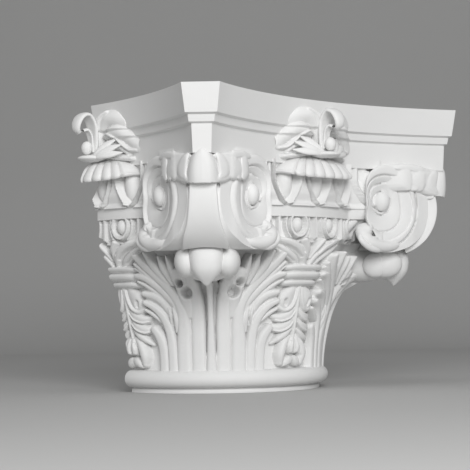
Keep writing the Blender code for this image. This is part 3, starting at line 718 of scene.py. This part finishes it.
def bud_shells():
    """The bud under the volute: a middle lobe that runs down to a point, and cheeks on both sides.

    The middle lobe's rings are superellipses of power 1 / 0.36, so its flanks stand upright.
    """
    up = np.array([179, 177, 172, 165, 158, 150, 144, 139, 135, 132, 130.5])
    across = np.array([10, 17, 20.4, 21.2, 20.8, 19.0, 15.2, 10.4, 6.2, 3, 0.8])
    out = np.array([243, 249, 252.6, 254, 254, 252.4, 249, 244.6, 240, 236.5, 234])
    rows = through(np.stack([out, across, up], -1), 44)
    a = np.linspace(0, 2 * math.pi, 40, endpoint=False)[None, :]
    front, back = rows[:, :1], 200 + 33 * smooth((154 - rows[:, 2:3]) / 24)
    x = np.sign(np.cos(a)) * np.abs(np.cos(a)) ** 0.72
    y = np.sign(np.sin(a)) * np.abs(np.sin(a)) ** 0.72
    depth = (front + back + (front - back) * x) / 2
    middle = np.stack([depth, rows[:, 1:2] * y, rows[:, 2:3] + 0 * x], -1)
    cheek = ball((222, 24.5, 159), (22, 14, 18.2), lean=3, rows=24, columns=32)
    outer = ball((209, 29.5, 157), (17, 9.5, 16), lean=10, rows=16, columns=24)
    neck = ball((190, 0, 157), (46, 30, 21), rows=16, columns=32)
    return [skin(middle), neck] + mirrored([cheek, outer])


# The ground that the horn's leaf is carved on: distance out at each distance across
LEAF_GROUND = ((0, 284), (10, 283), (17.5, 279), (24, 272), (31, 264), (36, 259), (46, 244), (56, 229))
# Its lobes and fingers on the right half: across, height, relief over the ground, half width
HORN_LOBES = {
    "middle": [(0, 287, 15, 0.8), (0, 281, 18.5, 6.5), (0, 274, 20.5, 12.5), (0, 266, 21, 17),
               (0, 257, 20.5, 19.5), (0, 249, 18.5, 20.5)],
    "lip": [(14, 250.5, 15, 5), (22, 252, 13.5, 5), (30, 256, 10.5, 4.4)],
    "side": [(17, 279, 12, 3), (21, 274, 15, 6), (24, 266, 15.5, 7.6), (24, 258, 15, 6.6),
             (20.5, 252.5, 15, 3.4)],
    "wing": [(22, 276, 12, 5.4), (30, 271, 13, 11), (35, 264, 12.5, 11), (34, 258, 11, 7)],
    "top": [(14, 277, 12, 3), (24, 277, 12, 5), (34, 279.5, 11.5, 5.2), (44, 282, 9.5, 5),
            (51, 281, 6, 3)],
    "finger1": [(35, 283, 9, 3.6), (36, 274, 12, 4.2), (36.6, 265, 13, 4), (36.4, 261.5, 11.5, 2.8)],
    "finger2": [(46, 282, 8, 4.2), (46.6, 270, 10.5, 4.8), (46.8, 260, 11, 4.4), (45.6, 254.8, 9.5, 3)],
    "finger3": [(41, 276, 8, 2.6), (40.6, 264, 10, 3.6), (40.2, 254.5, 10.5, 3)],
}
# Its grid, its level outside the lobes, and its lower edge, a parabola in the middle
HORN_HALF = 55
HORN_LOW = 243
HORN_TOP = 292
HORN_SUNK = -14.0
LIP_UP = 245.4
LIP_BOW = 0.004
LIP_HALF = 19


def horn_leaf_shell():
    """The leaf folded over the volute's top: a pointed middle lobe, side lobes, wings and fingers.

    It is relief on a fine grid, outwards from the leaf's ground: the highest of its lobes counts.
    """
    across = np.linspace(-HORN_HALF, HORN_HALF, 170)[None, :]
    up = np.linspace(HORN_LOW, HORN_TOP, 88)[:, None]
    across, up = np.broadcast_arrays(across, up)
    side = np.abs(across)
    ground = follow(side, LEAF_GROUND)
    relief = np.full(side.shape, HORN_SUNK)
    for name, route in HORN_LOBES.items():
        edge = 0.34 if name in ("middle", "side") else 0.42
        relief = np.maximum(relief, rib_height(side, up, route, edge, 3.2))
    relief = np.where(relief < 0.5, HORN_SUNK, relief)
    lip = LIP_UP + LIP_BOW * side**2
    relief = np.where((side < LIP_HALF) & (up < lip), HORN_SUNK, relief)
    return patch(np.stack([ground + relief, across, up], -1), (225.0, 0.0, 268.0))


def face_ground(across, up):
    """How far the abacus stands out on a face: its courses in height, and the hollow side's arc across."""
    level, reach, half = np.array(COURSES).T
    bow = (half[0] ** 2 + SIDE_HOLLOW**2) / (2 * SIDE_HOLLOW)
    return np.interp(up, level, reach) - SIDE_HOLLOW + bow - np.sqrt(bow**2 - across**2)


# The lobes beside the flower, right half on a face: across, height, relief over the abacus, half width
SIDE_LOBES = {
    "upper": [(8, 318, 8, 7), (13, 330, 10, 10), (22, 337, 10, 12), (34, 336, 7, 12), (45, 330, 3, 9)],
    "upper_edge": [(6, 316, 10, 2), (9, 330, 13, 3), (15, 341, 13, 3.6), (24, 346, 9, 3)],
    "lower": [(12, 312, 12, 7), (24, 319, 14, 11), (38, 319, 13, 13), (50, 312, 9, 12),
              (60, 303, 4, 9)],
    "lower_edge": [(12, 316, 14, 3), (22, 319, 16.5, 3.4), (32, 314, 16, 3.4), (40, 306, 13.5, 3.2),
                   (50, 299, 10, 3), (60, 297.5, 5, 2.4)],
    "inner": [(8, 302, 12, 6), (20, 306, 14, 8), (32, 303, 12, 7.4), (44, 296, 8, 5)],
    "fold": [(8, 296, 14, 2), (18, 302, 17, 2.6), (28, 303, 14, 2.4)],
    "low": [(4, 290, 15, 3), (20, 291, 16, 5), (36, 290, 14, 4.6), (52, 288, 8, 3)],
}
# Their grid, and its level outside them
LOBES_HALF = 66
LOBES_LOW = 283
LOBES_TOP = 351
LOBES_SUNK = -6.0
# Where each petal on the right ends: across, height and distance out
PETAL_ENDS = ((47, 295, 193), (43, 305, 192), (33, 313, 191))
PETAL_FOOT = 290


def side_lobe_shell():
    """The smooth lobes on both sides of the flower, as relief on the abacus."""
    across = np.linspace(-LOBES_HALF, LOBES_HALF, 156)[None, :]
    up = np.linspace(LOBES_LOW, LOBES_TOP, 82)[:, None]
    across, up = np.broadcast_arrays(across, up)
    side = np.abs(across)
    relief = np.full(side.shape, LOBES_SUNK)
    for name, route in SIDE_LOBES.items():
        soft = 1.0 if name in ("upper", "lower", "inner") else 0.5
        relief = np.maximum(relief, rib_height(side, up, route, soft, 2.0))
    relief = np.where(relief < 0.4, LOBES_SUNK, relief)
    surface = np.stack([face_ground(across, up) + relief, across, up], -1)
    return patch(surface, (150.0, 0.0, 315.0))


def fleuron_shells():
    """The flower on a side: a leaf curled forwards over a bead, with petals and lobes beside it.

    Leaf and petals are sections carried along smooth routes, and the bead and the cores are ellipsoids.
    """
    curl = [(202, 0, 286, 4, 3), (202, 0, 297, 8, 4), (201.5, 0, 314, 9.4, 4.2), (204, 0, 332, 9.8, 3.8),
            (212, 0, 343, 10, 3.4), (221, 0, 341, 9.4, 3.4), (226.5, 0, 333, 8.4, 3.6),
            (227, 0, 325.5, 6.4, 3.6), (223, 0, 321.5, 3.4, 3)]
    faced = [(1, 0, 0), (1, 0, -0.1), (1, 0, -0.4), (1, 0, -1), (0.2, 0, -1), (-0.5, 0, -1),
             (-1, 0, -0.6), (-1, 0, 0.1), (-1, 0, 1)]
    inner = [(204, 0, 298, 4, 2.4), (205, 0, 309, 4.8, 2.4), (207, 0, 319, 5.2, 2.4),
             (212, 0, 325, 5, 2.4), (218, 0, 323.5, 3.4, 2.2)]
    inner_faced = [(1, 0, 0), (1, 0, -0.5), (1, 0, -0.8), (0.3, 0, -1), (-0.6, 0, -1)]
    hollow = section(24, 2.4, 0.7)
    shells = [side_lobe_shell(), swept(curl, faced, hollow, 60), swept(inner, inner_faced, hollow, 36)]
    shells.append(ball((211.5, 0, 303), (7.2, 7, 8.4), rows=18, columns=26))
    shells.append(ball((190, 0, 314), (13, 8.4, 30), rows=18, columns=26))
    shells.append(ball((203, 0, 290.5), (20, 17, 4.4), rows=14, columns=30))
    right = []
    for across, up, out in PETAL_ENDS:
        rise = up - PETAL_FOOT
        petal = [(204, 3, 289, 2.6, 2.4), (207, 0.4 * across, PETAL_FOOT + 0.26 * rise, 3.6, 2.6),
                 (out + 8, 0.72 * across, PETAL_FOOT + 0.7 * rise, 4.8, 2.4), (out, across, up, 0.6, 1.0)]
        right.append(swept(petal, (1, 0.3, 0.6), section(16, 2.2), 24))
    return shells + mirrored(right)


# The cushion: its profile as shares of the depth with heights, its ribs, and its size
GADROON_PROFILE = ((0.24, 290), (0.42, 289), (0.60, 286), (0.76, 281), (0.89, 274.5), (0.975, 268),
                   (1.0, 264.5), (0.985, 261.8), (0.92, 260.8), (0.6, 262.5), (0.2, 264))
RIBS = 11
CUSHION_BACK = 174.0
CUSHION_DEPTH = 41.0
CUSHION_HALF = 63.0
PLAIN_FROM = 58.0


def gadroon_shell():
    """The fluted cushion under the flower: a profile carried round an arc, in ribs of round section.

    The ribs spread from the cushion's top as the profile's share of the arc grows, and its two ends
    are plain.
    """
    profile = through(GADROON_PROFILE, 48)
    a = np.linspace(-90, 90, 265)[None, :]
    phase = (a + 90) / 180 * RIBS
    u = 2 * (phase - np.floor(phase)) - 1
    plain = smooth((np.abs(a) - PLAIN_FROM) / 6)
    round_rib = np.sqrt(1 - 0.97 * u**2) * (1 - plain) + 0.9 * plain
    share = profile[:, 0][:, None]
    depth = share * (0.85 + 0.15 * round_rib * smooth(share * 1.6 - 0.3))
    angle = np.radians(a)
    out = CUSHION_BACK + CUSHION_DEPTH * depth * np.cos(angle) ** 0.8
    across = CUSHION_HALF * depth * np.sin(angle)
    low = smooth((272 - profile[:, 1][:, None]) / 10)
    up = profile[:, 1][:, None] + (1.6 * (1 - round_rib) + 6 * np.sin(angle) ** 4) * low
    return patch(np.stack([out, across, up], -1), (150.0, 0.0, 275.0))


# The festoon's right half on a face: across, height, relief over the bell, half width
FESTOON = {
    "band1": [(0, 153.6, 15, 4.7), (18, 153.6, 14.4, 4.7), (27, 153, 11, 4.2)],
    "band2": [(0, 144, 17.5, 5.9), (18, 144, 17, 5.9), (28, 143.4, 12.5, 5.4)],
    "band3": [(0, 134.6, 14.5, 4.7), (17, 134.6, 14, 4.7), (26, 134, 10, 4)],
    "pod": [(7, 130, 8, 5), (12, 122, 11, 9), (18, 114, 13, 13), (20, 109, 12, 11)],
    "pod_lip": [(3, 128, 12, 2.4), (5, 116, 14, 3), (10, 105, 14.5, 3.4), (19, 100.5, 13, 3.6),
                (29, 105, 10, 3)],
    "stem": [(0, 131, 11, 3), (0, 112, 13, 4), (0, 95, 13.5, 4), (0, 78, 12.5, 3.4), (0, 66, 11, 3)],
    "husk1": [(3, 103, 11, 3), (12, 95, 13, 6), (23, 91.5, 11.5, 6.4), (33, 93.5, 6, 3.6)],
    "husk1_rib": [(3, 98, 13, 1.6), (11, 91, 14.5, 2.4), (22, 87.5, 13, 2.4), (30, 88.5, 9, 1.8)],
    "husk2": [(4, 90, 11, 3), (13, 82.5, 13, 6), (24, 79, 11.5, 6.4), (33, 81, 6, 3.6)],
    "husk2_rib": [(4, 86, 13, 1.6), (12, 79, 14.5, 2.4), (23, 75, 13, 2.4), (31, 76, 9, 1.8)],
    "husk3": [(5, 77, 11, 3), (14, 71, 12.5, 5.4), (24, 65.5, 11, 4.8), (33, 60, 5, 2.6)],
    "petal1": [(6, 68, 10, 3.6), (15, 59, 13.5, 6.4), (20, 47, 14, 7.6), (19, 37, 10.5, 6)],
    "petal2": [(3, 66, 13, 3), (5.5, 57, 16, 5.6), (5, 50, 15, 5)],
    "petal3": [(0, 42, 11, 7), (8, 38, 12, 7), (13, 34, 9, 4)],
    "spray1": [(4, 157, 12, 3.4), (9, 167, 14, 5.4), (19, 177, 14, 6.4), (33, 184, 12, 5.4),
               (46, 187.5, 7, 3.4)],
    "spray2": [(12, 157, 10, 3.4), (21, 165, 12, 5), (35, 174, 11, 5.4), (48, 181, 7, 3.6)],
    "spray3": [(2, 165, 11, 2), (7, 177, 14, 4), (13, 186, 13, 4)],
}
# Lines cut into it: their depth and half width, then across and height
FESTOON_CUTS = (
    (6, 2.0, [(19, 108), (20, 113)]),
    (5, 1.6, [(0, 45), (7, 46), (14, 44)]),
    (3, 1.0, [(6, 62), (10, 54), (10, 46)]),
    (3, 1.0, [(12, 166), (22, 174), (34, 180)]),
    (3, 1.0, [(10, 172), (18, 181), (28, 186)]),
    (2.4, 0.9, [(20, 161), (32, 169), (44, 177)]),
)
# Its grid, and its level outside the forms
FESTOON_HALF = 50
FESTOON_LOW = 27
FESTOON_TOP = 191
FESTOON_SUNK = -4.0


def festoon_shell():
    """The festoon on a face, as relief over the bell.

    A clasp of three bands, sprays above it, and pods, husks and a blossom below: the highest of them
    counts, and the cuts of Gaussian section are taken off.
    """
    across = np.linspace(-FESTOON_HALF, FESTOON_HALF, 168)[None, :]
    up = np.linspace(FESTOON_LOW, FESTOON_TOP, 240)[:, None]
    across, up = np.broadcast_arrays(across, up)
    side = np.abs(across)
    relief = np.full(side.shape, FESTOON_SUNK)
    for route in FESTOON.values():
        relief = np.maximum(relief, rib_height(side, up, route, 0.45, 2.6))
    for depth, half, route in FESTOON_CUTS:
        cut = np.exp(-((line_distance(side, up, route) / half) ** 2))
        relief = relief - depth * cut * (relief > 3)
    relief = np.where(relief < 0.5, FESTOON_SUNK, relief)
    turn = across / LEAF_RADIUS
    radius = bell_radius(up) + relief
    surface = np.stack([radius * np.cos(turn), radius * np.sin(turn), up], -1)
    return patch(surface, (60.0, 0.0, 110.0))


# Floor and wall, in metres along the camera's direction
FLOOR_FRONT = -6.0
FLOOR_BACK = 1.6
FLOOR_HALF = 6
BEND = 0.5
WALL_TOP = 5.0


def stage():
    """A plain pale floor with a rounded rise to a plain wall behind, in metres ahead and up."""
    a = np.radians(np.linspace(0, 90, 13))
    bend = [(FLOOR_BACK + BEND * math.sin(t), BEND - BEND * math.cos(t)) for t in a]
    profile = [(FLOOR_FRONT, 0.0), (-2.0, 0.0)] + bend + [(FLOOR_BACK + BEND, WALL_TOP)]
    yaw = math.radians(CAMERA_YAW)
    ahead = Vector((math.sin(yaw), math.cos(yaw), 0))
    aside = Vector((math.cos(yaw), -math.sin(yaw), 0))
    sides = (-FLOOR_HALF, FLOOR_HALF)
    verts = [ahead * d + aside * side + Vector((0, 0, z)) for side in sides for d, z in profile]
    count = len(profile)
    faces = [(k, k + 1, count + k + 1, count + k) for k in range(count - 1)]
    mesh = bpy.data.meshes.new("floor")
    mesh.from_pydata([tuple(v) for v in verts], [], faces)
    mesh.shade_smooth()
    mesh.materials.append(floor_finish())
    floor = bpy.data.objects.new("floor", mesh)
    bpy.context.scene.collection.objects.link(floor)


def floor_finish():
    """Pale grey paper with a faint mottle."""
    finish = bpy.data.materials.new("pale_floor")
    finish.use_nodes = True
    nodes, links = finish.node_tree.nodes, finish.node_tree.links
    shader = nodes["Principled BSDF"]
    shader.inputs["Roughness"].default_value = 0.9
    place = nodes.new("ShaderNodeTexCoord")
    cloud = nodes.new("ShaderNodeTexNoise")
    cloud.inputs["Scale"].default_value = 2.0
    tint = nodes.new("ShaderNodeValToRGB")
    tint.color_ramp.elements[0].color = (0.50, 0.50, 0.495, 1)
    tint.color_ramp.elements[1].color = (0.53, 0.53, 0.525, 1)
    links.new(place.outputs["Object"], cloud.inputs["Vector"])
    links.new(cloud.outputs["Fac"], tint.inputs["Fac"])
    links.new(tint.outputs["Color"], shader.inputs["Base Color"])
    return finish


# The camera, in degrees, metres, and millimetres of lens
CAMERA_YAW = 43.23
CAMERA_PITCH = 2.7396
CAMERA_ROLL = -0.795
CAMERA_AT = (-1.3696, -1.4958, 0.1036)
CAMERA_LENS = 117.78


def aim_camera():
    """The camera that the photograph was taken with, as fitted to the abacus and the ring."""
    yaw, pitch, roll = (math.radians(a) for a in (CAMERA_YAW, CAMERA_PITCH, CAMERA_ROLL))
    ahead = Vector((math.sin(yaw) * math.cos(pitch), math.cos(yaw) * math.cos(pitch), math.sin(pitch)))
    level = Vector((math.cos(yaw), -math.sin(yaw), 0))
    upright = level.cross(ahead)
    right = math.cos(roll) * level + math.sin(roll) * upright
    top = -math.sin(roll) * level + math.cos(roll) * upright
    pose = Matrix((right, top, -ahead)).transposed().to_4x4()
    pose.translation = CAMERA_AT
    lens = bpy.data.cameras.new("camera")
    lens.lens = CAMERA_LENS
    lens.sensor_width = 36.0
    lens.clip_start = 0.05
    camera = bpy.data.objects.new("camera", lens)
    camera.matrix_world = pose
    bpy.context.scene.collection.objects.link(camera)
    bpy.context.scene.camera = camera


# The lights, in metres and watts
LIT_MIDDLE = (0.0, -0.1, 0.2)
KEY_AT = (-1.35, -2.0, 1.0)
KEY_SIZE = 1.0
KEY_POWER = 38
TOP_AT = (-0.5, -0.7, 2.3)
TOP_SIZE = 0.9
TOP_POWER = 4
SKY_STRENGTH = 0.30


def lamp(name, place, target, size, power):
    """A square soft light at a place, turned to its target."""
    light = bpy.data.lights.new(name, "AREA")
    light.size = size
    light.energy = power
    shown = bpy.data.objects.new(name, light)
    shown.location = place
    shown.rotation_euler = (Vector(target) - Vector(place)).to_track_quat("-Z", "Y").to_euler()
    bpy.context.scene.collection.objects.link(shown)


def light_studio():
    """A large key light at the front left, near the camera, a weak top light and a pale sky."""
    lamp("key", KEY_AT, LIT_MIDDLE, KEY_SIZE, KEY_POWER)
    lamp("top", TOP_AT, LIT_MIDDLE, TOP_SIZE, TOP_POWER)
    world = bpy.data.worlds.new("studio")
    world.use_nodes = True
    sky = world.node_tree.nodes["Background"]
    sky.inputs["Color"].default_value = (1, 1, 1, 1)
    sky.inputs["Strength"].default_value = SKY_STRENGTH
    bpy.context.scene.world = world
    bpy.context.scene.view_settings.view_transform = "Standard"


def build():
    """All pieces of the capital: each horn's and each face's ornament is the same one, turned."""
    finish = plaster()
    piece("abacus", [abacus_shell()], finish, SHARP_ABACUS)
    piece("bell_and_ring", base_shells() + [bell_shell()], finish, SHARP_TURNED)
    leaf = corner_leaf_shell()
    volute = volute_shells() + mirrored(arm_shells())
    horn = bud_shells() + [horn_leaf_shell()]
    for side, azimuth in zip(("left", "right"), HORNS):
        piece("corner_leaf_" + side, placed([leaf], azimuth), finish, SHARP_LEAF)
        piece("volute_" + side, placed(volute, azimuth), finish, SHARP_TURNED)
        piece("horn_leaf_" + side, placed(horn, azimuth), finish, SHARP_LEAF)
    eggs = egg_shell()
    flower = fleuron_shells() + [gadroon_shell()]
    festoon = festoon_shell()
    for side, azimuth in zip(("left", "front", "right"), FACES):
        piece("eggs_" + side, placed([eggs], azimuth), finish, SHARP_TURNED, 0.3)
        piece("fleuron_" + side, placed(flower, azimuth), finish, SHARP_LEAF, 0.5)
        piece("festoon_" + side, placed([festoon], azimuth), finish, SHARP_LEAF, 0.4)


build()
stage()
aim_camera()
light_studio()
